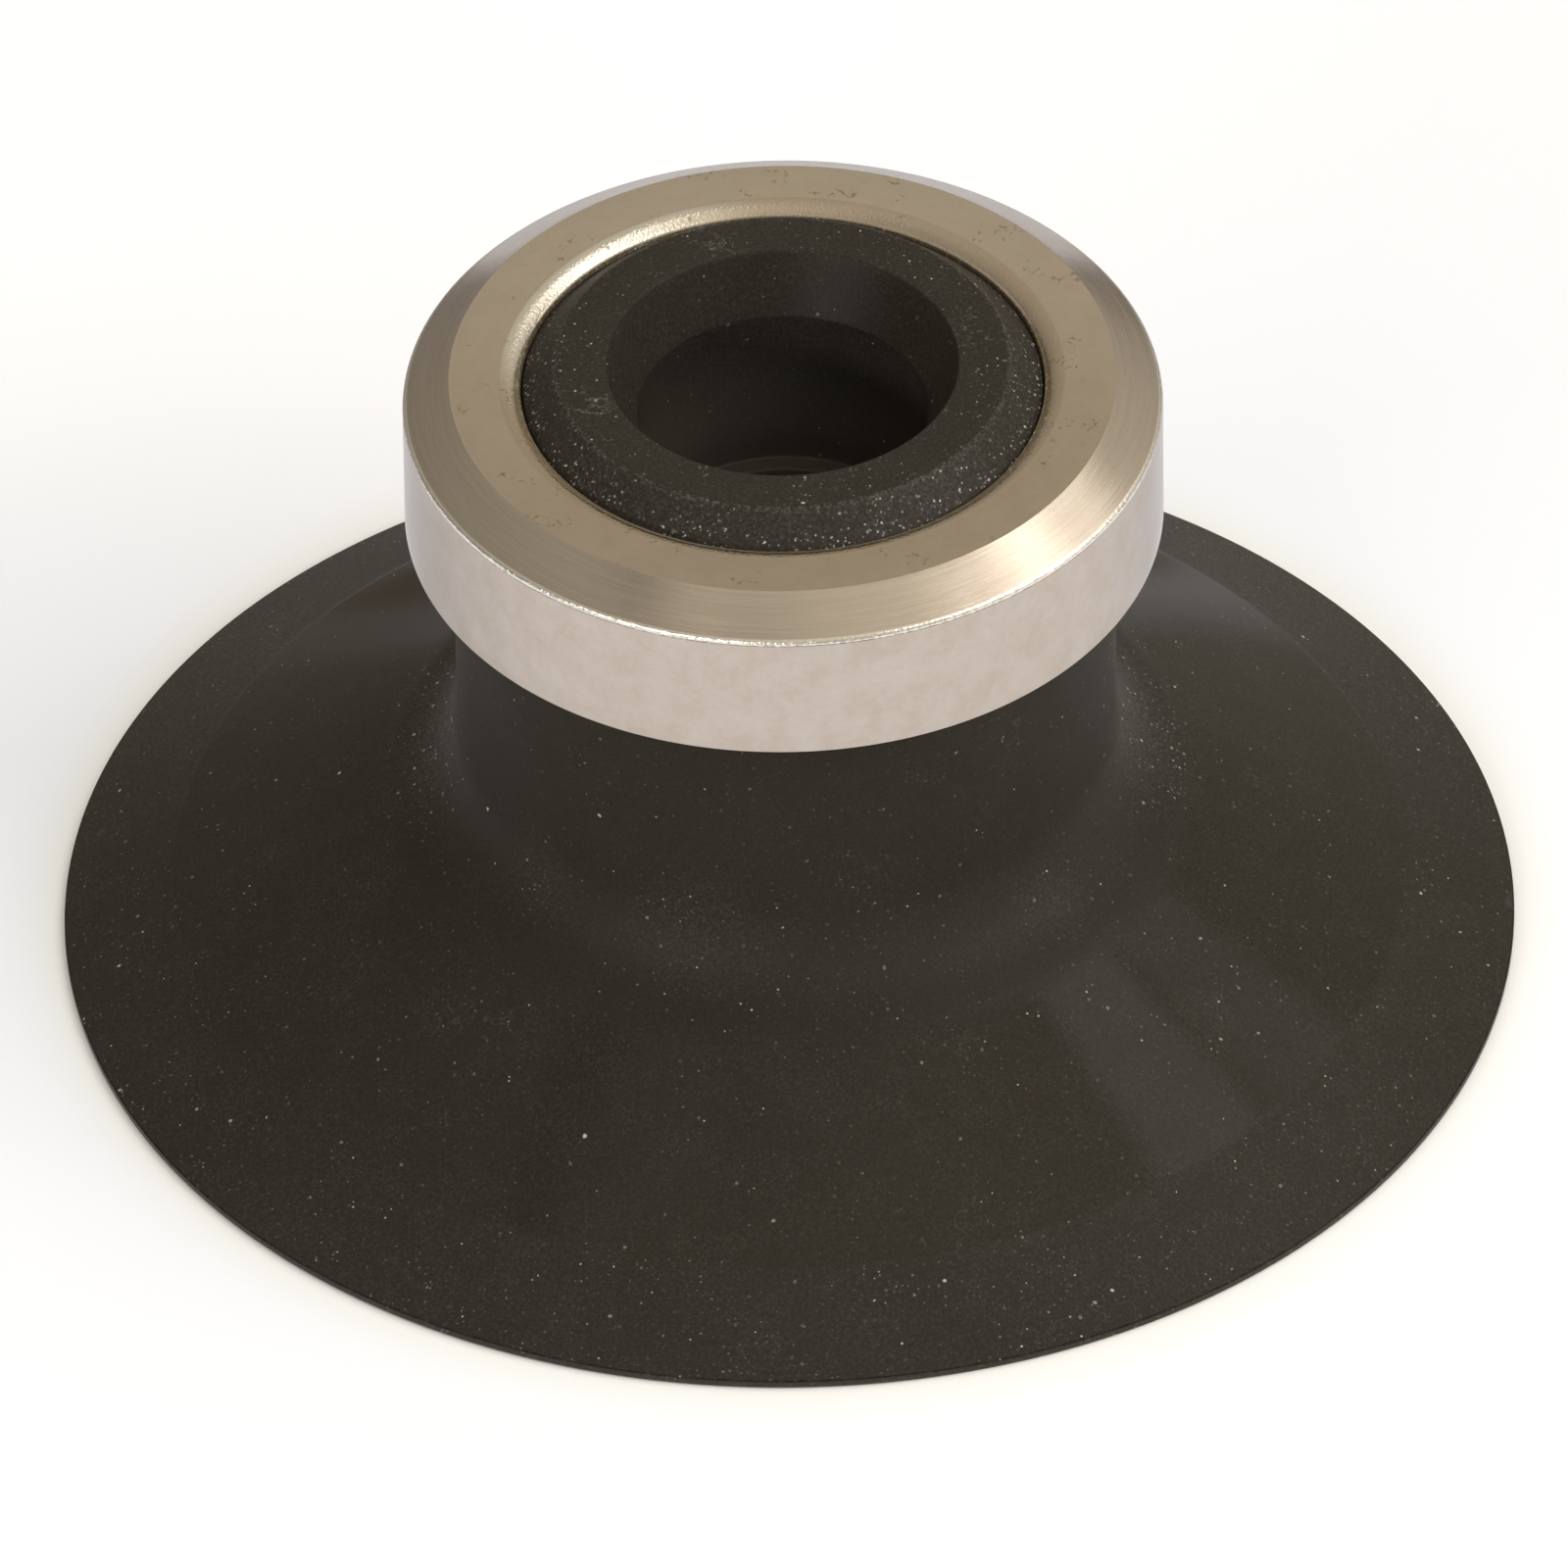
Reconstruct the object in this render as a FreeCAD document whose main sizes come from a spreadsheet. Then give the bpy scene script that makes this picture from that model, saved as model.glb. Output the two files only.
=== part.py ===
"""Flat vacuum cup: a rubber moulding with a conical skirt, and a turned metal ring on its neck.

Millimetres, +Z up along the axis of the cup, origin at the centre of the sealing plane.
"""
import FreeCAD
import Part
import Sketcher

import math
import os
from types import SimpleNamespace

# Driving dimensions: name, value and what it measures.
SIZES = [
    ("rim_radius", 30.0, "outside of the sealing lip"),
    ("lip_edge", 0.35, "height of the thin outer edge of the lip"),
    ("sealing_width", 0.8, "flat width of the lip that meets the workpiece"),
    ("lip_width", 4.6, "radial width of the band inside the rim where the cone flares out"),
    ("lip_flare", 74.0, "radius of that flare"),
    ("skirt_height", 9.2, "height at which the line of the cone meets the neck wall"),
    ("root_wall", 1.8, "height of that corner above the roof of the cavity"),
    ("root_fillet", 4.0, "concave radius between neck and skirt"),
    ("hub_inset", 2.1, "how far the hub under the cup stands inside the neck wall"),
    ("land_height", 4.5, "height of the support land above the sealing plane"),
    ("hub_draft", 0.7, "how much the hub narrows from the roof of the cavity to its land"),
    ("slot_width", 2.5, "width of a radial slot across the support land"),
    ("slot_depth", 1.5, "depth of that slot"),
    ("slot_overrun", 0.5, "how far a slot runs out past the hub"),
    ("slot_count", 6, "slots around the land"),
    ("cup_height", 29.7, "height of the top of the neck"),
    ("top_proud", 0.8, "how far the top of the neck stands above the seated ring"),
    ("shoulder_width", 2.9, "radial width of the shoulder that the ring sits on"),
    ("bore_radius", 6.0, "straight wall of the nipple socket"),
    ("socket_depth", 10.0, "depth of the socket's floor below the top"),
    ("ledge_width", 0.8, "width of that floor around the air passage"),
    ("mouth_depth", 2.5, "depth of the countersunk mouth"),
    ("mouth_flare", 1.25, "radial width of the countersink"),
    ("top_land", 2.1, "width of the flat rubber land round the mouth"),
    ("top_bevel_width", 1.35, "radial width of the bevel outside that land"),
    ("top_bevel_drop", 1.3, "height of that bevel"),
    ("flex_offset", 2.6, "distance from the neck wall to the line where the skirt flexes"),
    ("flex_clearance", 0.05, "radial clearance along that line"),
    ("ring_clearance", 0.05, "radial clearance between spigot and ring"),
    ("ring_wall", 4.85, "radial thickness of the ring"),
    ("ring_height", 7.25, "height of the ring"),
    ("chamfer_width", 1.9, "radial width of the ring's outer chamfer"),
    ("chamfer_height", 1.25, "height of that chamfer"),
    ("ring_mouth_round", 1.1, "radius that eases the ring's top face into its bore"),
    ("ring_mouth_drop", 0.4, "how far that round falls before it meets the bore"),
    ("edge_break", 0.25, "broken lower edge of the ring"),
]

# How a sketch's constraints number the ends of an edge and the two axes; the origin is the
# start of either axis.
START, END = 1, 2
LEVEL_AXIS, UPRIGHT_AXIS = -1, -2

# Radii and a height that several pieces share, written in the names of the sheet.
MOUTH_RADIUS = "Sizes.bore_radius + Sizes.mouth_flare"
LAND_RADIUS = MOUTH_RADIUS + " + Sizes.top_land"
SPIGOT_RADIUS = LAND_RADIUS + " + Sizes.top_bevel_width"
NECK_RADIUS = SPIGOT_RADIUS + " + Sizes.shoulder_width"
HUB_RADIUS = NECK_RADIUS + " - Sizes.hub_inset"
PASSAGE_RADIUS = "Sizes.bore_radius - Sizes.ledge_width"
FLEX_RADIUS = NECK_RADIUS + " + Sizes.flex_offset"
RING_BORE = SPIGOT_RADIUS + " + Sizes.ring_clearance"
RING_RADIUS = RING_BORE + " + Sizes.ring_wall"
SHOULDER_HEIGHT = "Sizes.cup_height - Sizes.top_proud - Sizes.ring_height"


def make_sheet(doc):
    """Writes the driving dimensions, one row each, and returns their values by name."""
    sheet = doc.addObject("Spreadsheet::Sheet", "Sizes")
    for row, (name, value, meaning) in enumerate(SIZES, start=1):
        sheet.set(f"A{row}", name)
        sheet.set(f"B{row}", str(value))
        sheet.set(f"C{row}", meaning)
        sheet.setAlias(f"B{row}", name)
    doc.recompute()
    return SimpleNamespace(**{name: value for name, value, meaning in SIZES})


def shared_lengths(size):
    """The radii and the height above as numbers, for the first guess at each sketch."""
    mouth = size.bore_radius + size.mouth_flare
    land = mouth + size.top_land
    spigot = land + size.top_bevel_width
    neck = spigot + size.shoulder_width
    return SimpleNamespace(
        mouth=mouth,
        land=land,
        spigot=spigot,
        neck=neck,
        hub=neck - size.hub_inset,
        passage=size.bore_radius - size.ledge_width,
        ring_bore=spigot + size.ring_clearance,
        shoulder=size.cup_height - size.top_proud - size.ring_height,
    )


def origin_plane(body, role):
    """One of the body's own origin planes."""
    return next(item for item in body.Origin.OriginFeatures if item.Role == role)


def left_turning_arc(start, end, radius):
    """An arc between two points that bends to the left of the way from one to the other."""
    chord = end - start
    to_left = FreeCAD.Vector(-chord.y, chord.x, 0).normalize()
    sagitta_leg = math.sqrt(radius**2 - (chord.Length / 2) ** 2)
    centre = start + chord * 0.5 + to_left * sagitta_leg
    angles = [math.atan2(point.y - centre.y, point.x - centre.x) for point in (start, end)]
    return Part.ArcOfCircle(Part.Circle(centre, FreeCAD.Vector(0, 0, 1), radius), *angles)


def ends_of_round(before, corner, after, radius):
    """Where a round of this radius leaves the straight edges that meet at a corner."""
    back = (before - corner).normalize()
    on = (after - corner).normalize()
    reach = radius / math.tan(back.getAngle(on) / 2)
    return corner + back * reach, corner + on * reach


class Outline:
    """A closed sketch with named corners; the edge that leaves a corner has the corner's number.

    Edges are straight, but one that leaves a corner in flares is an arc that runs smoothly out of
    the edge before it, and a corner in rounds is rounded off. Both give first guesses at the radius,
    and both bend to the left.
    """

    def __init__(self, body, name, role, corners, flares=None, rounds=None):
        self.sketch = body.newObject("Sketcher::SketchObject", name)
        self.sketch.AttachmentSupport = [(origin_plane(body, role), "")]
        self.sketch.MapMode = "FlatFace"
        self.corners = corners
        self.names = list(corners)
        self.flares = flares or {}
        self.rounds = rounds or {}
        self.sharp_points = {}
        self.bends = {}
        self.draw_edges()
        for number, corner in enumerate(self.names):
            self.join(number, corner)

    def draw_edges(self):
        """Adds the edges in the order of their corners, then each round with its sharp corner."""
        points = [FreeCAD.Vector(x, y, 0) for x, y in self.corners.values()]
        count = len(points)
        ends = [(point, point) for point in points]
        for corner, radius in self.rounds.items():
            number = self.names.index(corner)
            after = points[(number + 1) % count]
            ends[number] = ends_of_round(points[number - 1], points[number], after, radius)
        for number, corner in enumerate(self.names):
            span = ends[number][1], ends[(number + 1) % count][0]
            if corner in self.flares:
                arc = left_turning_arc(*span, self.flares[corner])
                self.bends[corner] = self.sketch.addGeometry(arc, False)
            else:
                self.sketch.addGeometry(Part.LineSegment(*span), False)
        for corner, radius in self.rounds.items():
            number = self.names.index(corner)
            self.bends[corner] = self.sketch.addGeometry(left_turning_arc(*ends[number], radius), False)
            self.sharp_points[corner] = self.sketch.addGeometry(Part.Point(points[number]), True)

    def join(self, number, corner):
        """Joins the edges that meet at a corner."""
        before = (number - 1) % len(self.names)
        if corner in self.rounds:
            self.constrain("Tangent", before, END, self.bends[corner], START)
            self.constrain("Tangent", self.bends[corner], END, number, START)
            self.constrain("PointOnObject", self.sharp_points[corner], START, before)
            self.constrain("PointOnObject", self.sharp_points[corner], START, number)
        elif corner in self.flares:
            self.constrain("Tangent", before, END, number, START)
        else:
            self.constrain("Coincident", before, END, number, START)

    def constrain(self, *terms):
        """Adds one constraint and returns its number."""
        return self.sketch.addConstraint(Sketcher.Constraint(*terms))

    def bind(self, constraint, label, expression):
        """Names a constraint and ties its value to the sheet."""
        self.sketch.renameConstraint(constraint, label)
        self.sketch.setExpression(f"Constraints.{label}", expression)

    def place(self, corner, x=None, y=None):
        """Ties a corner's distance from the origin to the sheet, along x, y or both."""
        point = self.sharp_points.get(corner, self.names.index(corner))
        for axis, expression, guess in zip("XY", (x, y), self.corners[corner]):
            if expression is not None:
                distance = self.constrain("Distance" + axis, LEVEL_AXIS, START, point, START, guess)
                self.bind(distance, f"{corner}_{axis.lower()}", expression)

    def level(self, *corners):
        """Makes the edges that leave these corners horizontal."""
        for corner in corners:
            self.constrain("Horizontal", self.names.index(corner))

    def upright(self, *corners):
        """Makes the edges that leave these corners vertical."""
        for corner in corners:
            self.constrain("Vertical", self.names.index(corner))

    def on_axis(self, corner, axis):
        """Puts a corner on one of the sketch's own axes."""
        self.constrain("PointOnObject", self.names.index(corner), START, axis)

    def bend(self, corner, expression):
        """Ties the radius of a corner's flare or round to the sheet."""
        guess = self.flares.get(corner, self.rounds.get(corner))
        radius = self.constrain("Radius", self.bends[corner], guess)
        self.bind(radius, f"{corner}_bend", expression)


def revolve(body, section):
    """Turns a half-section once round the body's Z axis."""
    turned = body.newObject("PartDesign::Revolution", section.sketch.Name + "Turned")
    turned.Profile = section.sketch
    turned.ReferenceAxis = (section.sketch, ["V_Axis"])
    turned.Angle = 360
    body.Document.recompute()
    return turned


def cup_section(body, size, shared):
    """Half-section of the rubber moulding, from the mouth out to the lip and back under the hub."""
    socket_floor = size.cup_height - size.socket_depth
    cone_slope = (size.skirt_height - size.lip_edge) / (size.rim_radius - shared.neck)
    corners = {
        "mouth_edge": (shared.mouth, size.cup_height),
        "land_edge": (shared.land, size.cup_height),
        "spigot_top": (shared.spigot, size.cup_height - size.top_bevel_drop),
        "spigot_foot": (shared.spigot, shared.shoulder),
        "shoulder_edge": (shared.neck, shared.shoulder),
        "root": (shared.neck, size.skirt_height),
        "lip_start": (size.rim_radius - size.lip_width, size.lip_edge + size.lip_width * cone_slope),
        "rim_top": (size.rim_radius, size.lip_edge),
        "rim_bottom": (size.rim_radius, 0),
        "sealing_edge": (size.rim_radius - size.sealing_width, 0),
        "roof_corner": (shared.hub, size.skirt_height - size.root_wall),
        "hub_edge": (shared.hub - size.hub_draft, size.land_height),
        "passage_foot": (shared.passage, size.land_height),
        "passage_top": (shared.passage, socket_floor),
        "socket_corner": (size.bore_radius, socket_floor),
        "mouth_foot": (size.bore_radius, size.cup_height - size.mouth_depth),
    }
    flares = {"lip_start": size.lip_flare}
    rounds = {"root": size.root_fillet}
    section = Outline(body, "CupSection", "XZ_Plane", corners, flares, rounds)
    section.level("mouth_edge", "spigot_foot", "rim_bottom", "hub_edge", "passage_top")
    section.upright("spigot_top", "shoulder_edge", "rim_top", "passage_foot", "socket_corner")
    section.on_axis("rim_bottom", LEVEL_AXIS)
    section.place("mouth_edge", MOUTH_RADIUS, "Sizes.cup_height")
    section.place("land_edge", LAND_RADIUS)
    section.place("spigot_top", SPIGOT_RADIUS, "Sizes.cup_height - Sizes.top_bevel_drop")
    section.place("shoulder_edge", NECK_RADIUS, SHOULDER_HEIGHT)
    section.place("root", y="Sizes.skirt_height")
    section.bend("root", "Sizes.root_fillet")
    section.place("lip_start", "Sizes.rim_radius - Sizes.lip_width")
    section.bend("lip_start", "Sizes.lip_flare")
    section.place("rim_top", "Sizes.rim_radius", "Sizes.lip_edge")
    section.place("sealing_edge", "Sizes.rim_radius - Sizes.sealing_width")
    section.place("roof_corner", HUB_RADIUS, "Sizes.skirt_height - Sizes.root_wall")
    section.place("hub_edge", HUB_RADIUS + " - Sizes.hub_draft", "Sizes.land_height")
    section.place("passage_top", PASSAGE_RADIUS, "Sizes.cup_height - Sizes.socket_depth")
    section.place("mouth_foot", "Sizes.bore_radius", "Sizes.cup_height - Sizes.mouth_depth")
    return section


def cut_land_slots(body, base, size, shared):
    """Radial slots that let air across the support land once it sits on the workpiece."""
    half = size.slot_width / 2
    reach = shared.hub + size.slot_overrun
    corners = {
        "near_left": (0, half),
        "near_right": (0, -half),
        "far_right": (reach, -half),
        "far_left": (reach, half),
    }
    outline = Outline(body, "SlotOutline", "XY_Plane", corners)
    outline.upright("near_left", "far_right")
    outline.level("near_right", "far_left")
    outline.on_axis("near_left", UPRIGHT_AXIS)
    outline.place("near_left", y="Sizes.slot_width / 2")
    outline.place("far_right", HUB_RADIUS + " + Sizes.slot_overrun", "-Sizes.slot_width / 2")
    slot = body.newObject("PartDesign::Pocket", "LandSlot")
    slot.Profile = outline.sketch
    slot.Reversed = True
    slot.setExpression("Length", "Sizes.land_height + Sizes.slot_depth")
    body.Document.recompute()
    if slot.Shape.Volume >= base.Shape.Volume:
        raise RuntimeError("the slot misses the support land")
    around = body.newObject("PartDesign::PolarPattern", "LandSlots")
    around.Originals = [slot]
    around.Axis = (outline.sketch, ["N_Axis"])
    around.Angle = 360
    around.setExpression("Occurrences", "Sizes.slot_count")
    body.Tip = around
    body.Document.recompute()


def make_moulding(doc, size, shared):
    """The rubber cup as it leaves its mould, in one piece."""
    body = doc.addObject("PartDesign::Body", "Moulding")
    turned = revolve(body, cup_section(body, size, shared))
    cut_land_slots(body, turned, size, shared)
    return body


def flex_core(doc, name, radius):
    """A tall cylinder on the cup's axis that marks the line where the skirt flexes."""
    core = doc.addObject("Part::Cylinder", name)
    core.setExpression("Radius", radius)
    core.setExpression("Height", "Sizes.cup_height")
    return core


def make_neck(doc, moulding):
    """The moulding inside the flex line: socket, spigot, neck, root and hub."""
    neck = doc.addObject("Part::Common", "CupNeck")
    neck.Base = moulding
    neck.Tool = flex_core(doc, "NeckCore", FLEX_RADIUS)
    neck.Label = "cup_neck"
    return neck


def make_skirt(doc, moulding):
    """The moulding outside the flex line: conical web and sealing lip."""
    skirt = doc.addObject("Part::Cut", "CupSkirt")
    skirt.Base = moulding
    skirt.Tool = flex_core(doc, "SkirtCore", FLEX_RADIUS + " + Sizes.flex_clearance")
    skirt.Label = "cup_skirt"
    return skirt


def make_ring(doc, size, shared):
    """The turned ring, drawn from its lower face up and seated on the shoulder."""
    outer = shared.ring_bore + size.ring_wall
    mouth_width = math.sqrt(size.ring_mouth_drop * (2 * size.ring_mouth_round - size.ring_mouth_drop))
    corners = {
        "bore_foot": (shared.ring_bore, 0),
        "seat_edge": (outer - size.edge_break, 0),
        "wall_foot": (outer, size.edge_break),
        "wall_top": (outer, size.ring_height - size.chamfer_height),
        "face_edge": (outer - size.chamfer_width, size.ring_height),
        "mouth_edge": (shared.ring_bore + mouth_width, size.ring_height),
        "bore_top": (shared.ring_bore, size.ring_height - size.ring_mouth_drop),
    }
    flares = {"mouth_edge": size.ring_mouth_round}
    body = doc.addObject("PartDesign::Body", "Ring")
    section = Outline(body, "RingSection", "XZ_Plane", corners, flares)
    section.level("bore_foot", "face_edge")
    section.upright("wall_foot", "bore_top")
    section.on_axis("bore_foot", LEVEL_AXIS)
    section.place("bore_foot", RING_BORE)
    section.place("seat_edge", RING_RADIUS + " - Sizes.edge_break")
    section.place("wall_foot", RING_RADIUS, "Sizes.edge_break")
    section.place("wall_top", y="Sizes.ring_height - Sizes.chamfer_height")
    section.place("face_edge", RING_RADIUS + " - Sizes.chamfer_width", "Sizes.ring_height")
    section.bend("mouth_edge", "Sizes.ring_mouth_round")
    section.place("bore_top", y="Sizes.ring_height - Sizes.ring_mouth_drop")
    revolve(body, section)
    body.setExpression("Placement.Base.z", SHOULDER_HEIGHT)
    body.Label = "retaining_ring"
    return body


def check(doc, pieces):
    """Stops before anything is written if a feature failed or a piece isn't one sound solid."""
    for item in doc.Objects:
        if "Invalid" in item.State or "Error" in item.State:
            raise RuntimeError(f"{item.Name} failed: {item.State}")
    for piece in pieces:
        if piece.Shape.isNull() or not piece.Shape.isValid() or len(piece.Shape.Solids) != 1:
            raise RuntimeError(f"{piece.Label} isn't one sound solid")


def main():
    """Builds the cup and writes one file for each piece."""
    doc = FreeCAD.newDocument("VacuumCup")
    size = make_sheet(doc)
    shared = shared_lengths(size)
    moulding = make_moulding(doc, size, shared)
    pieces = [make_neck(doc, moulding), make_skirt(doc, moulding), make_ring(doc, size, shared)]
    doc.recompute()
    check(doc, pieces)
    os.makedirs("parts", exist_ok=True)
    for piece in pieces:
        piece.Shape.exportStep(f"parts/{piece.Label}.step")
        print(f"{piece.Label}: {piece.Shape.Volume:.1f} cubic millimetres")


main()
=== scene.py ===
import math

import bmesh
import bpy
from mathutils import Matrix, Quaternion, Vector


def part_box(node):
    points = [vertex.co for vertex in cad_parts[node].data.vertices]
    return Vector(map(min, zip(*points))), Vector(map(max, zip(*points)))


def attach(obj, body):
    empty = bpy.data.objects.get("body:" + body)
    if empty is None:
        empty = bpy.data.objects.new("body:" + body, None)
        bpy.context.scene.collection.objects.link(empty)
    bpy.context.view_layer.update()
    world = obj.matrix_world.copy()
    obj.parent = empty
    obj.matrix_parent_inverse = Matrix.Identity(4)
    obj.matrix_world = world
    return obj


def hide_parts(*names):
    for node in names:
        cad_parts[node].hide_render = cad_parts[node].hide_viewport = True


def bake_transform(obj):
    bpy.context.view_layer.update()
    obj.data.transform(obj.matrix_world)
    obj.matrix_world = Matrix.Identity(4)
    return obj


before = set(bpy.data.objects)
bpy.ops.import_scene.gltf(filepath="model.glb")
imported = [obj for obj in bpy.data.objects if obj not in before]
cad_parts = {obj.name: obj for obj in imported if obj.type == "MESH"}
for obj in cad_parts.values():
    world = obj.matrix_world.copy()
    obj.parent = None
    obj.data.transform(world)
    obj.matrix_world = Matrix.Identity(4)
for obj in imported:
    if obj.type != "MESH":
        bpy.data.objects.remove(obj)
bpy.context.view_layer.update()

# Rubber cup
# One compression moulding of black nitrile rubber: a countersunk socket for the nipple, a thick
# neck with a step for the ring, and a thin conical skirt that ends in the sealing lip. The mould is
# polished on the cone, so the cone is glossy, and turned matt on the neck, the root and the lip.

MM = 0.001
AROUND = 288
CUP_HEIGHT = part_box("cup_neck")[1].z / MM
RIM_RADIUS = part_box("cup_skirt")[1].x / MM
RING_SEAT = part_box("retaining_ring")[0].z / MM
MOUTH_RADIUS, SOCKET_RADIUS, PASSAGE_RADIUS = 7.25, 6.0, 5.2
MOUTH_DEPTH, SOCKET_DEPTH = 2.5, 10.0
LAND_RADIUS, SPIGOT_RADIUS, NECK_RADIUS = 9.35, 10.7, 13.6
TOP_BEVEL_DROP = 1.3
ROOT_CORNER_HEIGHT, ROOT_ROUND = 9.2, 4.0
LIP_START_RADIUS = 25.4
LIP_BEND, LIP_ROUND = (27.66, 1.4375), 74.0
LIP_EDGE, SEALING_WIDTH = 0.35, 0.8
HUB_RADIUS, ROOF_HEIGHT, HUB_POCKET_TOP = 11.5, 7.4, 9.6
MOULDED_EDGE = 0.12
ARC_STEP = 0.2


def rounded(corners, longest_run):
    """Points of a closed half-section: every (radius, height, round) corner becomes an arc."""
    places = [Vector(corner[:2]) for corner in corners]
    points = []
    for number, (corner, (_, _, radius)) in enumerate(zip(places, corners)):
        back = (places[number - 1] - corner).normalized()
        ahead = (places[(number + 1) % len(places)] - corner).normalized()
        opening = back.angle(ahead)
        if radius == 0:
            points.append(corner)
            continue
        start = corner + back * (radius / math.tan(opening / 2))
        centre = corner + (back + ahead).normalized() * (radius / math.sin(opening / 2))
        turn = math.pi - opening
        if back.x * ahead.y - back.y * ahead.x > 0:
            turn = -turn
        steps = max(3, math.ceil(abs(turn) / ARC_STEP), math.ceil(abs(turn) * radius / longest_run))
        for step in range(steps + 1):
            share = turn * step / steps
            arm = start - centre
            points.append(centre + Vector((
                arm.x * math.cos(share) - arm.y * math.sin(share),
                arm.x * math.sin(share) + arm.y * math.cos(share),
            )))
    return divided(points, longest_run)


def divided(points, longest_run):
    """The same closed line with points added, so that no run is longer than this."""
    fine = []
    for number, point in enumerate(points):
        onward = points[(number + 1) % len(points)] - point
        runs = max(1, math.ceil(onward.length / longest_run))
        fine += [point + onward * (run / runs) for run in range(runs)]
    return fine


def turned(name, outline):
    """A mesh object made by turning a closed half-section, in millimetres, round the cup's axis."""
    mesh = bmesh.new()
    rows = []
    for step in range(AROUND):
        angle = 2 * math.pi * step / AROUND
        across = Vector((math.cos(angle), math.sin(angle), 0))
        rows.append([mesh.verts.new((across * point.x + Vector((0, 0, point.y))) * MM) for point in outline])
    for step, row in enumerate(rows):
        following = rows[(step + 1) % AROUND]
        for number in range(len(outline)):
            before = number - 1
            mesh.faces.new((row[before], following[before], following[number], row[number]))
    bmesh.ops.recalc_face_normals(mesh, faces=mesh.faces)
    for face in mesh.faces:
        face.smooth = True
    data = bpy.data.meshes.new(name)
    mesh.to_mesh(data)
    mesh.free()
    piece = bpy.data.objects.new(name, data)
    bpy.context.scene.collection.objects.link(piece)
    return piece


def flat_faces_stay_flat(piece):
    """Lets the large faces set the shading, so that only the small rounds look round."""
    weighted = piece.modifiers.new("even_faces", "WEIGHTED_NORMAL")
    weighted.mode = "FACE_AREA"
    weighted.weight = 100


cup_outline = rounded(
    [
        (MOUTH_RADIUS, CUP_HEIGHT, MOULDED_EDGE),
        (LAND_RADIUS, CUP_HEIGHT, 2 * MOULDED_EDGE),
        (SPIGOT_RADIUS, CUP_HEIGHT - TOP_BEVEL_DROP, 2 * MOULDED_EDGE),
        (SPIGOT_RADIUS, RING_SEAT, MOULDED_EDGE),
        (NECK_RADIUS, RING_SEAT, 2 * MOULDED_EDGE),
        (NECK_RADIUS, ROOT_CORNER_HEIGHT, ROOT_ROUND),
        (*LIP_BEND, LIP_ROUND),
        (RIM_RADIUS, LIP_EDGE, MOULDED_EDGE),
        (RIM_RADIUS, 0, MOULDED_EDGE),
        (RIM_RADIUS - SEALING_WIDTH, 0, MOULDED_EDGE),
        (HUB_RADIUS, ROOF_HEIGHT, 0),
        (HUB_RADIUS, HUB_POCKET_TOP, 0),
        (PASSAGE_RADIUS, HUB_POCKET_TOP, 0),
        (PASSAGE_RADIUS, CUP_HEIGHT - SOCKET_DEPTH, MOULDED_EDGE),
        (SOCKET_RADIUS, CUP_HEIGHT - SOCKET_DEPTH, MOULDED_EDGE),
        (SOCKET_RADIUS, CUP_HEIGHT - MOUTH_DEPTH, MOULDED_EDGE),
    ],
    longest_run=0.5,
)
cup = turned("rubber_cup", cup_outline)
flat_faces_stay_flat(cup)


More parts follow.
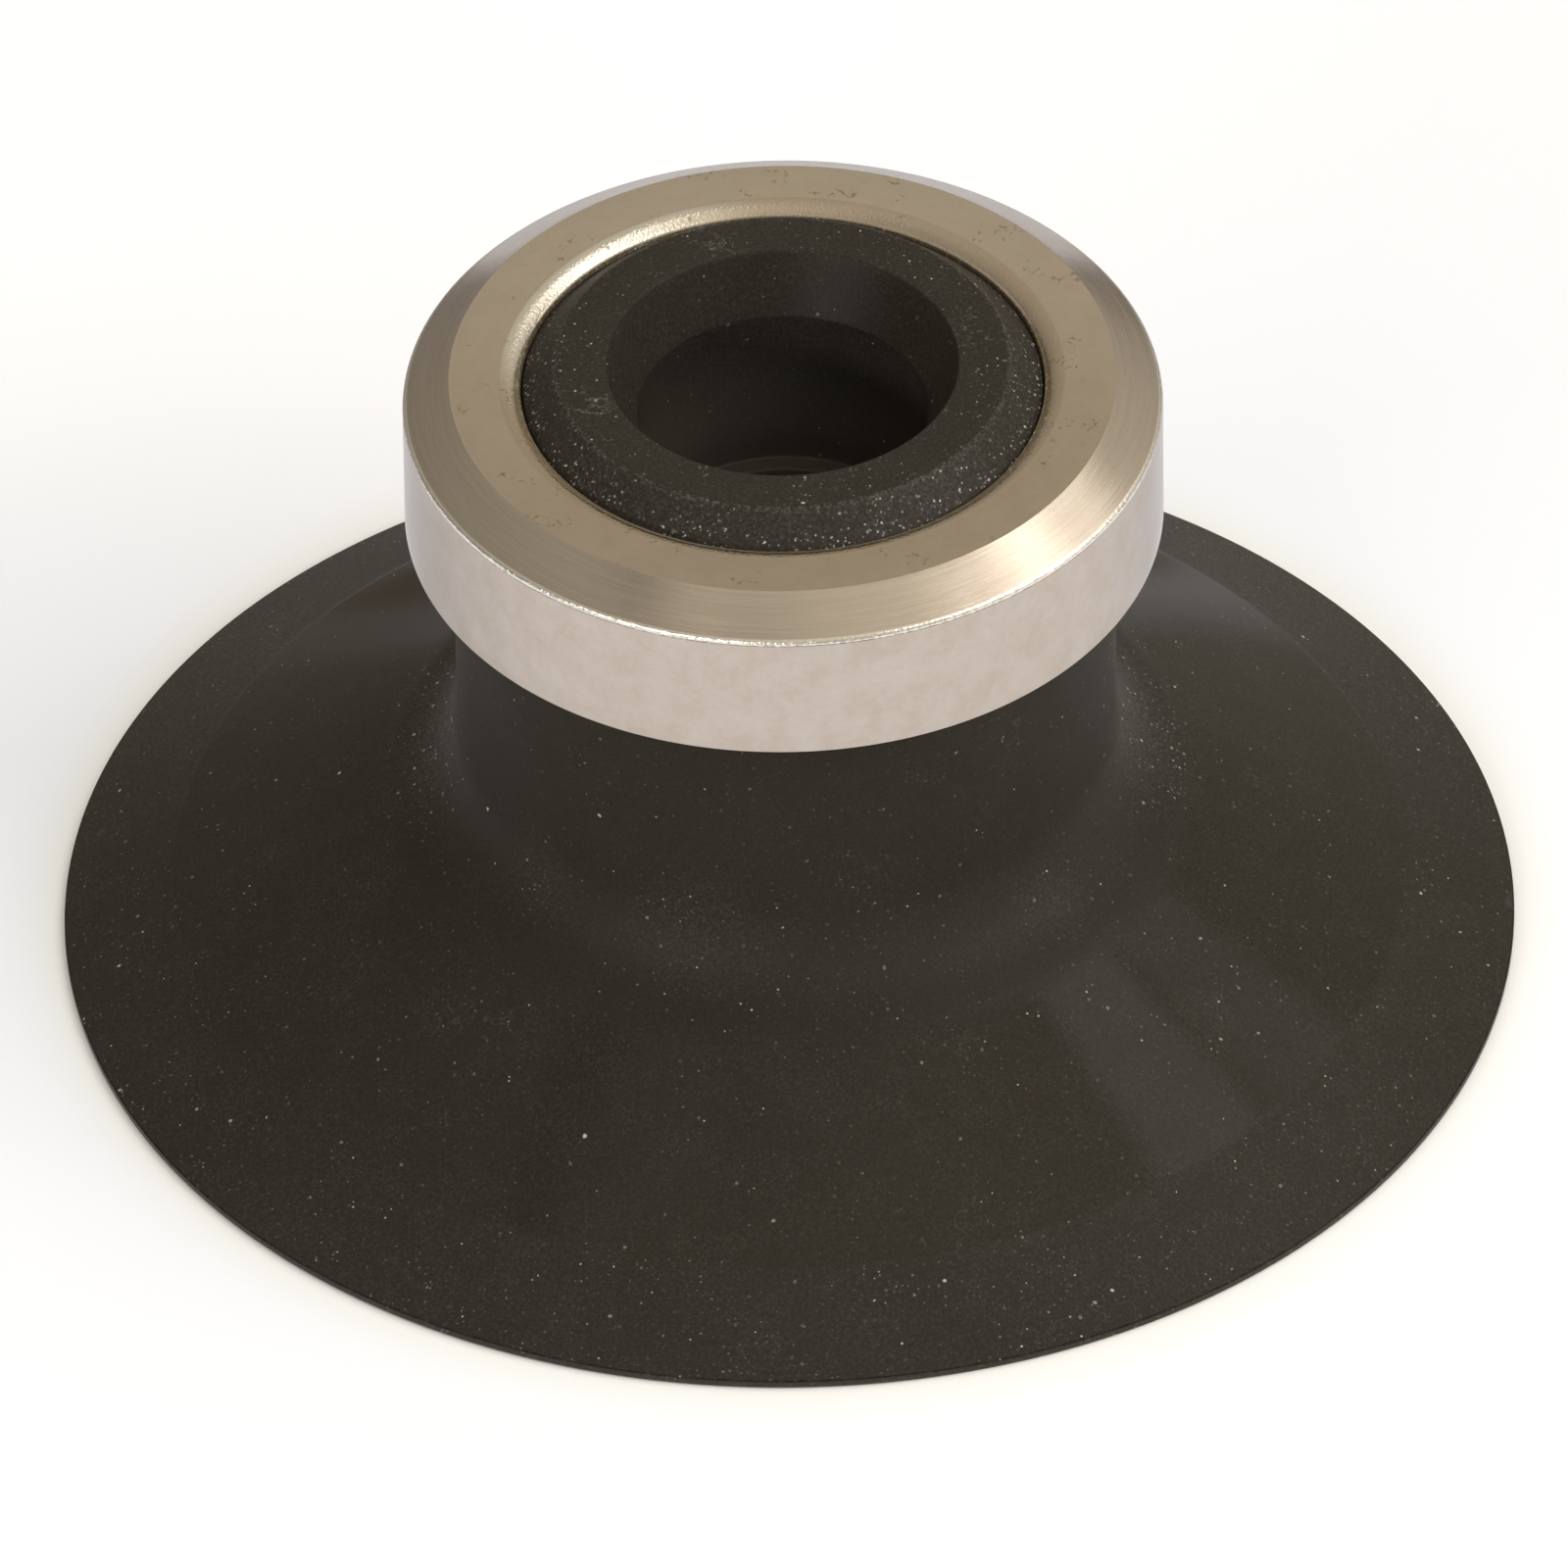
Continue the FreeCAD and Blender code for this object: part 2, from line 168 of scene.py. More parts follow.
class Wire:
    """An output socket in a node tree; arithmetic on wires adds Math nodes to that tree."""

    def __init__(self, socket):
        self.socket = socket

    def add(self, kind, settings=None, inputs=None, output=0):
        """Adds a node of a type, makes its settings, sets or links its inputs, and gives an output."""
        tree = self.socket.id_data
        node = tree.nodes.new(kind)
        for name, value in (settings or {}).items():
            setattr(node, name, value)
        for name, value in (inputs or {}).items():
            if isinstance(value, Wire):
                tree.links.new(value.socket, node.inputs[name])
            else:
                node.inputs[name].default_value = value
        return Wire(node.outputs[output])

    def also(self, output):
        """Another output of the same node."""
        return Wire(self.socket.node.outputs[output])

    def math(self, operation, *terms):
        """A Math node of this operation on these terms."""
        return self.add("ShaderNodeMath", {"operation": operation}, dict(enumerate(terms)))

    def __add__(self, other):
        return self.math("ADD", self, other)

    def __radd__(self, other):
        return self.math("ADD", other, self)

    def __sub__(self, other):
        return self.math("SUBTRACT", self, other)

    def __rsub__(self, other):
        return self.math("SUBTRACT", other, self)

    def __mul__(self, other):
        return self.math("MULTIPLY", self, other)

    def __rmul__(self, other):
        return self.math("MULTIPLY", other, self)

    def __truediv__(self, other):
        return self.math("DIVIDE", self, other)

    def __rtruediv__(self, other):
        return self.math("DIVIDE", other, self)

    def __pow__(self, other):
        return self.math("POWER", self, other)

    def __abs__(self):
        return self.math("ABSOLUTE", self)

    def along(self, axis):
        """One coordinate of a place or a direction."""
        return self.add("ShaderNodeSeparateXYZ", None, {"Vector": self}, output=axis)

    def rise(self, start, end):
        """A smooth step from 0 at start to 1 at end."""
        settings = {"interpolation_type": "SMOOTHSTEP"}
        return self.add("ShaderNodeMapRange", settings, {"Value": self, "From Min": start, "From Max": end})

    def band(self, start, full, fading, end):
        """1 between full and fading, with soft edges that reach out to start and end."""
        return self.rise(start, full) * self.rise(end, fading)

    def near(self, spot, reach):
        """1 close to this spot, falling to 0 at this reach from it."""
        away = self.add("ShaderNodeVectorMath", {"operation": "DISTANCE"}, {0: self, 1: spot}, output="Value")
        return away.rise(reach, 0.2 * reach)

    def mix(self, under, over):
        """One colour laid over another, by as much as this wire says."""
        return self.add("ShaderNodeMix", {"data_type": "RGBA"}, {0: self, 6: under, 7: over}, output=2)

    def noise(self, scale, detail=2.0, roughness=0.5):
        """Soft random values from 0 to 1 over this place, with about this many to the millimetre."""
        inputs = {"Vector": self, "Scale": scale, "Detail": detail, "Roughness": roughness}
        return self.add("ShaderNodeTexNoise", None, inputs)

    def ruffled(self, scale, reach):
        """This place, pushed aside at random by up to half this reach."""
        push = self.noise(scale).also("Color")
        inputs = {0: push, 1: (reach, reach, reach), 2: self}
        return self.add("ShaderNodeVectorMath", {"operation": "MULTIPLY_ADD"}, inputs)

    def specks(self, scale, density, size):
        """Specks of this size, as a part of a cell; as with real dust, most are faint and few are bright."""
        cells = self.add("ShaderNodeTexVoronoi", None, {"Vector": self, "Scale": scale})
        chance = self.add("ShaderNodeSeparateColor", None, {"Color": cells.also("Color")})
        strength = 0.5 * (density / chance) ** 0.74
        return strength.math("MINIMUM", strength, 1) * cells.rise(size, 0.5 * size)

    def scratches(self, scale, width, cover):
        """Thin curling scratches, broken up and in patches, over a share of the surface that cover sets."""
        middle = self.noise(scale, detail=1.5) - 0.5
        lines = abs(middle).rise(scale * width, 0.3 * scale * width)
        patches = self.noise(0.3 * scale, detail=2).rise(0.7 - 0.2 * cover, 0.74 - 0.2 * cover)
        return lines * patches * self.noise(2 * scale).rise(0.42, 0.6)


def new_finish(name):
    """A material, its shader, and the wires of a place on it: in millimetres, its radius and height."""
    material = bpy.data.materials.new(name)
    material.use_nodes = True
    shader = material.node_tree.nodes["Principled BSDF"]
    metres = Wire(material.node_tree.nodes.new("ShaderNodeTexCoord").outputs["Object"])
    place = metres.add("ShaderNodeVectorMath", {"operation": "SCALE"}, {"Vector": metres, "Scale": 1 / MM})
    x, y = place.along("X"), place.along("Y")
    return material, shader, place, (x * x + y * y) ** 0.5, place.along("Z")


def wear(shader, **inputs):
    """Sets or links inputs of a shader by their names, with underscores for spaces."""
    for name, value in inputs.items():
        socket = shader.inputs[name.replace("_", " ")]
        if isinstance(value, Wire):
            shader.id_data.links.new(value.socket, socket)
        else:
            socket.default_value = value


RUBBER_BLACK = (0.0197, 0.0160, 0.0121, 1)
RUBBER_BLOOM = (0.0252, 0.0213, 0.0172, 1)
COUNTERSINK_BLACK = (0.0165, 0.0135, 0.0104, 1)
SOCKET_PAINTED_LIGHT = (0.069, 0.057, 0.045, 1)
DUST = (0.50, 0.49, 0.46, 1)
DUST_AND_SHEEN_SPOTS = [((-3.9, -13.3, 10.8), 4.0), ((10.5, -9.6, 8.7), 2.5), ((-10.2, -9.0, 10.5), 2.5)]
WIPES = [((-17.5, -4.9, 6.6), 2.2), ((-18.3, -9.9, 5.2), 2.6), ((17.0, -13.0, 4.7), 2.2)]
SCUFFS = [((-2.7, 7.4, CUP_HEIGHT), 1.8), ((7.8, 1.8, CUP_HEIGHT), 1.7), ((-7.9, -2.7, CUP_HEIGHT), 1.5)]
MATT, DULL, WIPED, POLISHED = 0.46, 0.52, 0.40, 0.08
UNWIPED_DULL, HAZE_DULL, DUST_DULL = 0.05, 0.03, 0.3
RUBBER_IOR = 1.20
GRAIN_BUMP, GRAIN_DEPTH, DUST_HEIGHT = 0.12, 0.02 * MM, 2.0
DUST_ALL_OVER, LIP_DUST, ROOT_DUST = 0.009, 0.018, 0.004
LAND_DUST, SPOT_DUST_AND_SHEEN, NECK_SIDE_DUST_AND_SHEEN = 0.034, 0.03, 0.16
LIP_HAZE, BACK_LIP_HAZE, BEVEL_HAZE, LAND_EDGE_HAZE = 0.006, 0.05, 0.034, 0.1
SPOT_HAZE_AND_SHEEN, NECK_SIDE_HAZE_AND_SHEEN, WIPE_HAZE, SCUFF_HAZE, FIBRE_HAZE = 0.03, 0.08, 0.03, 0.25, 0.04
FILM, FILM_PATCHES, LAND_FILM = 0.022, 0.014, 0.014
BEVEL_DUST, DUST_COVER = 0.12, 0.8
FINE_CRUMBS, DRIFT_CRUMBS, COARSE_CRUMBS = 4.5, 2.6, 1.3
FINE_SIZE, DRIFT_SIZE, COARSE_SIZE = 0.25, 0.2, 0.13

# Soft edges in millimetres: where each begins and where it is full.
CONE_START, ROOT_REACH, ROOT_TOP = (16.0, 17.5), (19, 15.5), (14, 12)
TOP_START = CUP_HEIGHT - TOP_BEVEL_DROP - 0.4, CUP_HEIGHT - TOP_BEVEL_DROP
SOCKET_FOOT = CUP_HEIGHT - SOCKET_DEPTH - 1.7, CUP_HEIGHT - SOCKET_DEPTH - 0.7
DRIFT_START = SPIGOT_RADIUS - 0.8, SPIGOT_RADIUS - 0.2
CORNER_REACH, CORNER_SIDE, CORNER_BACK, CORNER_FOOT = (17.5, 15.0), (10, 13), (-5, 1), (19, 15)
DARKER_BACK, UNWIPED_BACK, HAZY_BACK = (1.5, 6), (3, 12), (-2, 22)

rubber, shader, place, radius, height = new_finish("black_rubber")
aside, behind = place.along("X"), place.along("Y")
off_neck = radius.rise(*CONE_START)
on_lip = radius.rise(LIP_START_RADIUS - 0.15, LIP_START_RADIUS + 0.25)
on_root = radius.rise(*ROOT_REACH) * height.rise(*ROOT_TOP)
on_cone = off_neck * (1 - on_lip)
on_top = height.rise(*TOP_START)
on_top_bevel = radius.rise(LAND_RADIUS - 0.1, LAND_RADIUS + 0.2) * on_top
on_land_edge = radius.band(LAND_RADIUS - 0.15, LAND_RADIUS, LAND_RADIUS, LAND_RADIUS + 0.2) * on_top
on_land = radius.rise(MOUTH_RADIUS - 0.05, MOUTH_RADIUS + 0.1) * on_top * (1 - on_top_bevel)
in_mouth = radius.rise(MOUTH_RADIUS + 0.05, MOUTH_RADIUS - 0.1) * height.rise(*SOCKET_FOOT)
in_socket = height.rise(CUP_HEIGHT - MOUTH_DEPTH, CUP_HEIGHT - SOCKET_DEPTH) * in_mouth
on_neck = (1 - off_neck) * (1 - on_top) * (1 - in_mouth)
# Dust in three spots on the root and the neck, lighter there partly as a painted sheen of the lamps on the
# matt rubber.
dust_and_sheen_spots = sum(place.near(*dust_and_sheen_spot) for dust_and_sheen_spot in DUST_AND_SHEEN_SPOTS) * on_neck
wipes = sum(place.near(*wipe) for wipe in WIPES) * place.noise(0.8, detail=4).rise(0.35, 0.65)
tufts = 0.35 + 2.2 * place.noise(0.7, detail=4).rise(0.45, 0.7)
clumps = (0.3 + 1.4 * place.noise(0.22, detail=3).rise(0.3, 0.75)) * tufts
drifts = (BEVEL_DUST + radius.rise(*DRIFT_START)) * on_top_bevel
# Dust along both sides of the neck, partly a grainy painted sheen along the neck's sides.
beside_neck = radius.rise(*CORNER_REACH) * height.rise(*CORNER_FOOT)
neck_side_dust_and_sheen = beside_neck * abs(aside).rise(*CORNER_SIDE) * behind.rise(*CORNER_BACK)
settled = (
    DUST_ALL_OVER
    + LIP_DUST * on_lip
    + ROOT_DUST * on_root
    + LAND_DUST * on_land
    + SPOT_DUST_AND_SHEEN * dust_and_sheen_spots
    + NECK_SIDE_DUST_AND_SHEEN * neck_side_dust_and_sheen
)
density = settled * clumps * (1 - 0.8 * in_socket)
crumbs = place.ruffled(5, 0.12)
fine_dust = crumbs.specks(FINE_CRUMBS, density + 0.5 * drifts * clumps, FINE_SIZE)
coarse_dust = crumbs.specks(COARSE_CRUMBS, density * 3.2, COARSE_SIZE)
drifted_dust = place.ruffled(9, 0.2).specks(DRIFT_CRUMBS, drifts * (0.35 + 0.5 * clumps), DRIFT_SIZE)
haze = place.noise(7, detail=3, roughness=0.75).rise(0.38, 0.75)
patches = place.noise(0.5, detail=5, roughness=0.6).rise(0.4, 0.65)
film = FILM + FILM_PATCHES * patches + LAND_FILM * on_land
fibres = place.scratches(0.8, 0.02, 0.3)
scuffs = place.scratches(1.3, 0.06, 2) * sum(place.near(*scuff) for scuff in SCUFFS) * on_land
lip_haze = (LIP_HAZE + BACK_LIP_HAZE * behind.rise(*HAZY_BACK)) * on_lip
top_haze = BEVEL_HAZE * on_top_bevel + LAND_EDGE_HAZE * on_land_edge + SCUFF_HAZE * scuffs
side_haze_and_sheen = SPOT_HAZE_AND_SHEEN * dust_and_sheen_spots + NECK_SIDE_HAZE_AND_SHEEN * neck_side_dust_and_sheen + WIPE_HAZE * wipes
haze_and_sheen_share = haze * (film * (1 - 0.4 * on_neck) + lip_haze + top_haze + side_haze_and_sheen) + FIBRE_HAZE * fibres
body_colour = place.noise(0.12, detail=2).mix(RUBBER_BLACK, RUBBER_BLOOM)
# The countersink and the socket are darker towards the back.
darker_at_back = behind.rise(*DARKER_BACK) * in_mouth
# Deep in the socket the colour turns lighter: painted light where little light reaches.
socket_painted_light_colour = in_socket.mix(darker_at_back.mix(body_colour, COUNTERSINK_BLACK), SOCKET_PAINTED_LIGHT)
hazy_colour = haze_and_sheen_share.mix(socket_painted_light_colour, DUST)
dusty_colour = ((fine_dust + coarse_dust + drifted_dust) * DUST_COVER).mix(hazy_colour, DUST)
grain = place.noise(9, detail=2)
unwiped = behind.rise(*UNWIPED_BACK) * on_cone
finish = MATT + (POLISHED - MATT) * on_cone + (WIPED - MATT) * in_mouth + (DULL - MATT) * on_neck
dulled = finish + UNWIPED_DULL * unwiped + HAZE_DULL * haze + DUST_DULL * fine_dust
relief = grain + DUST_HEIGHT * fine_dust
bump = place.add(
    "ShaderNodeBump", None, {"Strength": GRAIN_BUMP, "Distance": GRAIN_DEPTH, "Height": relief}
)
wear(shader, Base_Color=dusty_colour, Roughness=dulled, Normal=bump, IOR=RUBBER_IOR)
cup.data.materials.append(rubber)

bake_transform(cup)
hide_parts("cup_neck", "cup_skirt")

# Support hub
# The thick boss of the same moulding inside the skirt. Its flat land stops the workpiece from being
# sucked into the cup, and the slots moulded across it keep air flowing to the passage.

LAND_HEIGHT, LAND_EDGE_RADIUS = 4.5, 10.8
SLOT_WIDTH, SLOT_TOP, SLOT_REACH, SLOT_COUNT = 2.5, 6.0, 12.0, 6
HUB_SEAM = 0.02

hub = turned(
    "support_hub",
    rounded(
        [
            (PASSAGE_RADIUS, LAND_HEIGHT, MOULDED_EDGE),
            (LAND_EDGE_RADIUS, LAND_HEIGHT, 2 * MOULDED_EDGE),
            (HUB_RADIUS - HUB_SEAM, ROOF_HEIGHT, 0),
            (HUB_RADIUS - HUB_SEAM, HUB_POCKET_TOP - HUB_SEAM, 0),
            (PASSAGE_RADIUS, HUB_POCKET_TOP - HUB_SEAM, 0),
        ],
        longest_run=1.5,
    ),
)


def slot_core(turn):
    """A block of the size of two facing slots, turned about the axis, that is cut out of the hub."""
    mesh = bmesh.new()
    bmesh.ops.create_cube(mesh, size=1)
    for vertex in mesh.verts:
        vertex.co.x *= 2 * SLOT_REACH * MM
        vertex.co.y *= SLOT_WIDTH * MM
        vertex.co.z = (vertex.co.z + 0.5) * SLOT_TOP * MM
    data = bpy.data.meshes.new("slot_core")
    mesh.to_mesh(data)
    mesh.free()
    core = bpy.data.objects.new("slot_core", data)
    core.rotation_euler.z = turn
    bpy.context.scene.collection.objects.link(core)
    return core


def cut(piece, core):
    """Takes a core out of a piece for good."""
    modifier = piece.modifiers.new("core", "BOOLEAN")
    modifier.object = core
    modifier.solver = "EXACT"
    bpy.context.view_layer.update()
    cut_mesh = bpy.data.meshes.new_from_object(piece.evaluated_get(bpy.context.evaluated_depsgraph_get()))
    piece.modifiers.clear()
    piece.data = cut_mesh
    bpy.data.objects.remove(core)


for number in range(SLOT_COUNT // 2):
    cut(hub, slot_core(2 * math.pi * number / SLOT_COUNT))
hub.data.materials.clear()
hub.data.materials.append(rubber)
soft_edge = hub.modifiers.new("moulded_edge", "BEVEL")
soft_edge.width = MOULDED_EDGE * MM
soft_edge.segments = 3
soft_edge.limit_method = "ANGLE"
soft_edge.angle_limit = math.radians(40)
flat_faces_stay_flat(hub)
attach(hub, "neck")

# Retaining ring
# A ring turned from steel bar and plated with bright nickel: a plain wall, a broad chamfer, a flat
# top and a rounded mouth. It is pushed over the step of the neck and grips the rubber on the nipple.

RING_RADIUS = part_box("retaining_ring")[1].x / MM
RING_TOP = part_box("retaining_ring")[1].z / MM
RING_BORE = 10.75
CHAMFER_WIDTH, CHAMFER_HEIGHT = 1.9, 1.25
RING_MOUTH_ROUND, RING_MOUTH_DROP = 1.1, 0.4
RING_MOUTH_TURN = math.acos(1 - RING_MOUTH_DROP / RING_MOUTH_ROUND)
RING_MOUTH_CORNER = RING_BORE + RING_MOUTH_DROP / math.tan(RING_MOUTH_TURN)
FOOT_BREAK, WORN_EDGE, BORE_EDGE, CRISP_EDGE = 0.25, 0.3, 0.2, 0.07

ring = turned(
    "turned_ring",
    rounded(
        [
            (RING_BORE, RING_SEAT, CRISP_EDGE),
            (RING_RADIUS - FOOT_BREAK, RING_SEAT, CRISP_EDGE),
            (RING_RADIUS, RING_SEAT + FOOT_BREAK, CRISP_EDGE),
            (RING_RADIUS, RING_TOP - CHAMFER_HEIGHT, WORN_EDGE),
            (RING_RADIUS - CHAMFER_WIDTH, RING_TOP, CRISP_EDGE),
            (RING_MOUTH_CORNER, RING_TOP, RING_MOUTH_ROUND - CRISP_EDGE),
            (RING_BORE, RING_TOP - RING_MOUTH_DROP, BORE_EDGE),
        ],
        longest_run=1.0,
    ),
)
flat_faces_stay_flat(ring)

NICKEL = (0.492, 0.420, 0.356, 1)
NICKEL_COOL = (0.564, 0.504, 0.466, 1)
TOP_PALE_LIT, TOP_GOLDEN_SHADED = (0.62, 0.537, 0.465, 1), (0.495, 0.412, 0.332, 1)
NICKEL_EDGE, WORN_STEEL_AND_HIGHLIGHT = (0.76, 0.77, 0.80, 1), (0.88, 0.85, 0.80, 1)
STAIN, GRIME = (0.16, 0.11, 0.055, 1), (0.13, 0.093, 0.05, 1)
LINES_TO_MM, LINE_LENGTH = 6, 5.0
BRIGHT, CLOUD_DULL, MOUTH_DULL, STAIN_DULL, GRIME_DULL = 0.16, 0.06, 0.05, 0.3, 0.4
WORN_SHINE, MOUTH_HIGHLIGHT_SHINE = 0.06, 0.1
WORN_COVER, MOUTH_HIGHLIGHT_COVER, STAIN_COVER = 0.8, 0.6, 0.6
TURNED_BUMP, TURNED_DEPTH, NICK_HEIGHT = 0.6, 0.01 * MM, 6
WALL_LINES, CHAMFER_LINES = 0.5, 1.8
SHINY_SIDE, SHINY_BACK, GRIMY_FRONT, SHADED_FRONT = (0, -5), (-2, 3), (6, -4), (12, -12)
GRIME_FOOT = RING_TOP - 1.9, RING_TOP - 0.9

nickel, shader, place, radius, height = new_finish("turned_nickel")
aside, behind = place.along("X"), place.along("Y")
stretch = 1 / (LINES_TO_MM * LINE_LENGTH)
lines = place.add(
    "ShaderNodeCombineXYZ", None, {"X": aside * stretch, "Y": behind * stretch, "Z": radius - height}
)
turning = lines.noise(LINES_TO_MM, detail=4, roughness=0.65)
chamfer_foot = RING_TOP - CHAMFER_HEIGHT
chamfer_top = RING_RADIUS - CHAMFER_WIDTH
above_wall = height.rise(chamfer_foot - 0.05, chamfer_foot + 0.05)
on_chamfer = radius.rise(chamfer_top - 0.1, chamfer_top) * above_wall
at_wall = radius.rise(RING_RADIUS - 0.2, RING_RADIUS - 0.1)
on_worn_edge = at_wall * height.rise(chamfer_foot - 0.15, chamfer_foot - 0.1)
on_face = radius.rise(chamfer_top + 0.05, chamfer_top - 0.05) * height.rise(RING_TOP - 0.6, RING_TOP - 0.5)
on_mouth = radius.rise(RING_BORE + 0.95, RING_BORE + 0.8) * on_face
to_front = 0.35 * behind.rise(*GRIMY_FRONT)
in_mouth = (radius - to_front).rise(RING_BORE + 0.1, RING_BORE + 0.03) * height.rise(*GRIME_FOOT)
cloud = (0.55 * place.noise(0.7, detail=3) + 0.45 * place.noise(3, detail=5, roughness=0.7)).rise(0.3, 0.7)
grime = in_mouth * (0.5 + 0.45 * place.noise(5, detail=4).rise(0.3, 0.5))
grit = in_mouth * place.specks(4, 0.12, 0.3)
stains = (place.ruffled(4, 0.3).specks(0.9, 0.04, 0.18) + place.scratches(2.4, 0.022, 0.5)) * on_face
streaks = turning.rise(0.35, 0.65)
side_plating = (cloud + on_chamfer * (0.3 + 0.4 * streaks - cloud)).mix(NICKEL, NICKEL_COOL)
# The flat top turns darker and more golden towards the front, a painted darker reflection; random cloud and a
# darker mouth add to it.
front_shade_and_tone = 0.7 * behind.rise(*SHADED_FRONT) + 0.3 * cloud + 0.5 * on_mouth
# At the back left the mouth is paler and smoother: a painted highlight. The worn edge at the foot of the
# chamfer is real wear.
painted_mouth_highlight = on_mouth * aside.rise(*SHINY_SIDE) * behind.rise(*SHINY_BACK)
plating = on_face.mix(side_plating, front_shade_and_tone.mix(TOP_PALE_LIT, TOP_GOLDEN_SHADED))
worn_and_highlight_plating = (WORN_COVER * on_worn_edge + MOUTH_HIGHLIGHT_COVER * painted_mouth_highlight).mix(plating, WORN_STEEL_AND_HIGHLIGHT)
stained = (stains * STAIN_COVER).mix(worn_and_highlight_plating, STAIN)
nicks = place.noise(6, detail=3) * on_worn_edge + 0.65 * place.noise(8, detail=2) * on_mouth
dulled = BRIGHT + CLOUD_DULL * cloud + MOUTH_DULL * on_mouth + STAIN_DULL * stains + GRIME_DULL * grime
relief = turning * (WALL_LINES + CHAMFER_LINES * on_chamfer) + NICK_HEIGHT * nicks
bump = place.add(
    "ShaderNodeBump", None, {"Strength": TURNED_BUMP, "Distance": TURNED_DEPTH, "Height": relief}
)
wear(
    shader,
    Base_Color=grit.mix(grime.mix(stained, GRIME), DUST),
    Metallic=(1 - grime) * (1 - grit),
    Specular_Tint=NICKEL_EDGE,
    Roughness=dulled - WORN_SHINE * on_worn_edge - MOUTH_HIGHLIGHT_SHINE * painted_mouth_highlight,
    Normal=bump,
)
ring.data.materials.append(nickel)
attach(ring, "ring")
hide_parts("retaining_ring")

# Floor
# A sheet of white paper that the cup stands on. Seen straight it is white apart from the shadow of
# the cup, and in the mirror of rubber and metal it is shaded behind the cup. A glow under the cup
# shows its underside, and from below the sheet lets the view through.

FLOOR_RADIUS, FLOOR_DROP = 3.0, 0.02
PAPER, PAPER_SHADE = (0.93, 0.93, 0.93, 1), (0.13, 0.085, 0.05, 1)
PAPER_LIFT, PAPER_BLUING = 0.15, (0.28, 0.42, 1, 1)
WHITE, BLACK = (1, 1, 1, 1), (0, 0, 0, 1)
UNDERLIGHT = 0.8
SHADE_LEFT, SHADE_RIGHT, SHADE_FRONT, SHADE_BACK = (-28, -24), (18, 23), (30, 36), (56, 66)
CUP_SHADE, FAR_SHADE, FAR_FROM, FAR_TO = 0.85, 0.08, 60, 120
WEDGE_SLOPE, WEDGE_EDGE, WEDGE_FRONT = 2.9, 6, (30, 40)
LEFT_SHADE, RIGHT_SHADE, RIGHT_FAR_SHADE, RIGHT_FADE = 0.7, 0.3, 0.8, (50, 140)

paper_mesh = bmesh.new()
bmesh.ops.create_circle(paper_mesh, cap_ends=True, segments=128, radius=FLOOR_RADIUS)
for vertex in paper_mesh.verts:
    vertex.co.z = -FLOOR_DROP * MM
paper_data = bpy.data.meshes.new("floor")
paper_mesh.to_mesh(paper_data)
paper_mesh.free()
floor = bpy.data.objects.new("floor", paper_data)
bpy.context.scene.collection.objects.link(floor)
paper = bpy.data.materials.new("white_paper")
paper.use_nodes = True
nodes = paper.node_tree.nodes
nodes.remove(nodes["Principled BSDF"])
camera_ray = Wire(nodes.new("ShaderNodeLightPath").outputs["Is Camera Ray"])
seen = camera_ray + camera_ray.also("Is Glossy Ray") + camera_ray.also("Is Transmission Ray")
mirrored = camera_ray.also("Is Glossy Ray")
ground = seen.add("ShaderNodeTexCoord", output="Object")
aside, behind = ground.along("X") / MM, ground.along("Y") / MM
under_cup = ((aside * aside + behind * behind) ** 0.5).rise(RIM_RADIUS + 3, RIM_RADIUS - 1)
shadow = CUP_SHADE * aside.band(*SHADE_LEFT, *SHADE_RIGHT) * behind.band(*SHADE_FRONT, *SHADE_BACK)
on_left = aside.rise(10, -10)
right_shade = RIGHT_SHADE + (RIGHT_FAR_SHADE - RIGHT_SHADE) * behind.rise(*RIGHT_FADE)
wedge = (WEDGE_SLOPE * abs(aside) - behind).rise(-WEDGE_EDGE, WEDGE_EDGE) * behind.rise(*WEDGE_FRONT)
half_shadow = wedge * (right_shade + (LEFT_SHADE - right_shade) * on_left)
far_shade = FAR_SHADE * behind.rise(FAR_FROM, FAR_TO)
dimmed = mirrored * (1 - (1 - shadow) * (1 - half_shadow) * (1 - far_shade))
lit = seen.add("ShaderNodeBsdfDiffuse", None, {"Color": dimmed.mix(PAPER, PAPER_SHADE)})
lifting = (seen * (1 - under_cup) * (1 - dimmed)).mix(BLACK, PAPER_BLUING)
lift = seen.add("ShaderNodeEmission", None, {"Color": lifting, "Strength": PAPER_LIFT})
glowing = (under_cup * (1 - camera_ray)).mix(BLACK, WHITE)
underlight = seen.add("ShaderNodeEmission", None, {"Color": glowing, "Strength": UNDERLIGHT})
lifted = seen.add("ShaderNodeAddShader", None, {0: lit, 1: lift})
sheet = seen.add("ShaderNodeAddShader", None, {0: lifted, 1: underlight})
clear = seen.add("ShaderNodeBsdfTransparent")
below = seen.add("ShaderNodeNewGeometry", output="Backfacing")
one_sided = seen.add("ShaderNodeMixShader", None, {0: below, 1: sheet, 2: clear})
paper.node_tree.links.new(one_sided.socket, nodes["Material Output"].inputs["Surface"])
floor.data.materials.append(paper)

# Light
# A pale warm room with a dark beam and a pale panel in its ceiling, a tall window with two panes
# on the right, and soft boxes in front. Seen straight, the room is white.

ROOM = (1.0, 0.925, 0.745, 1)
ROOM_LEVEL, ROOM_SIDE, ROOM_TOP = 0.42, 0.20, 0.23
WINDOW, WINDOW_GLOW = (0.52, -0.12, 0.845), 0.18
BEAM_DARK, PANEL_PALE = 0.35, 0.2
BEAM_ACROSS, BEAM_ALONG = (-0.50, -0.46, -0.40, -0.36), (-0.26, -0.22, 0.12, 0.18)
PANEL_ACROSS, PANEL_ALONG = (-0.36, -0.32, -0.20, -0.12), (-0.40, -0.34, -0.10, 0.0)

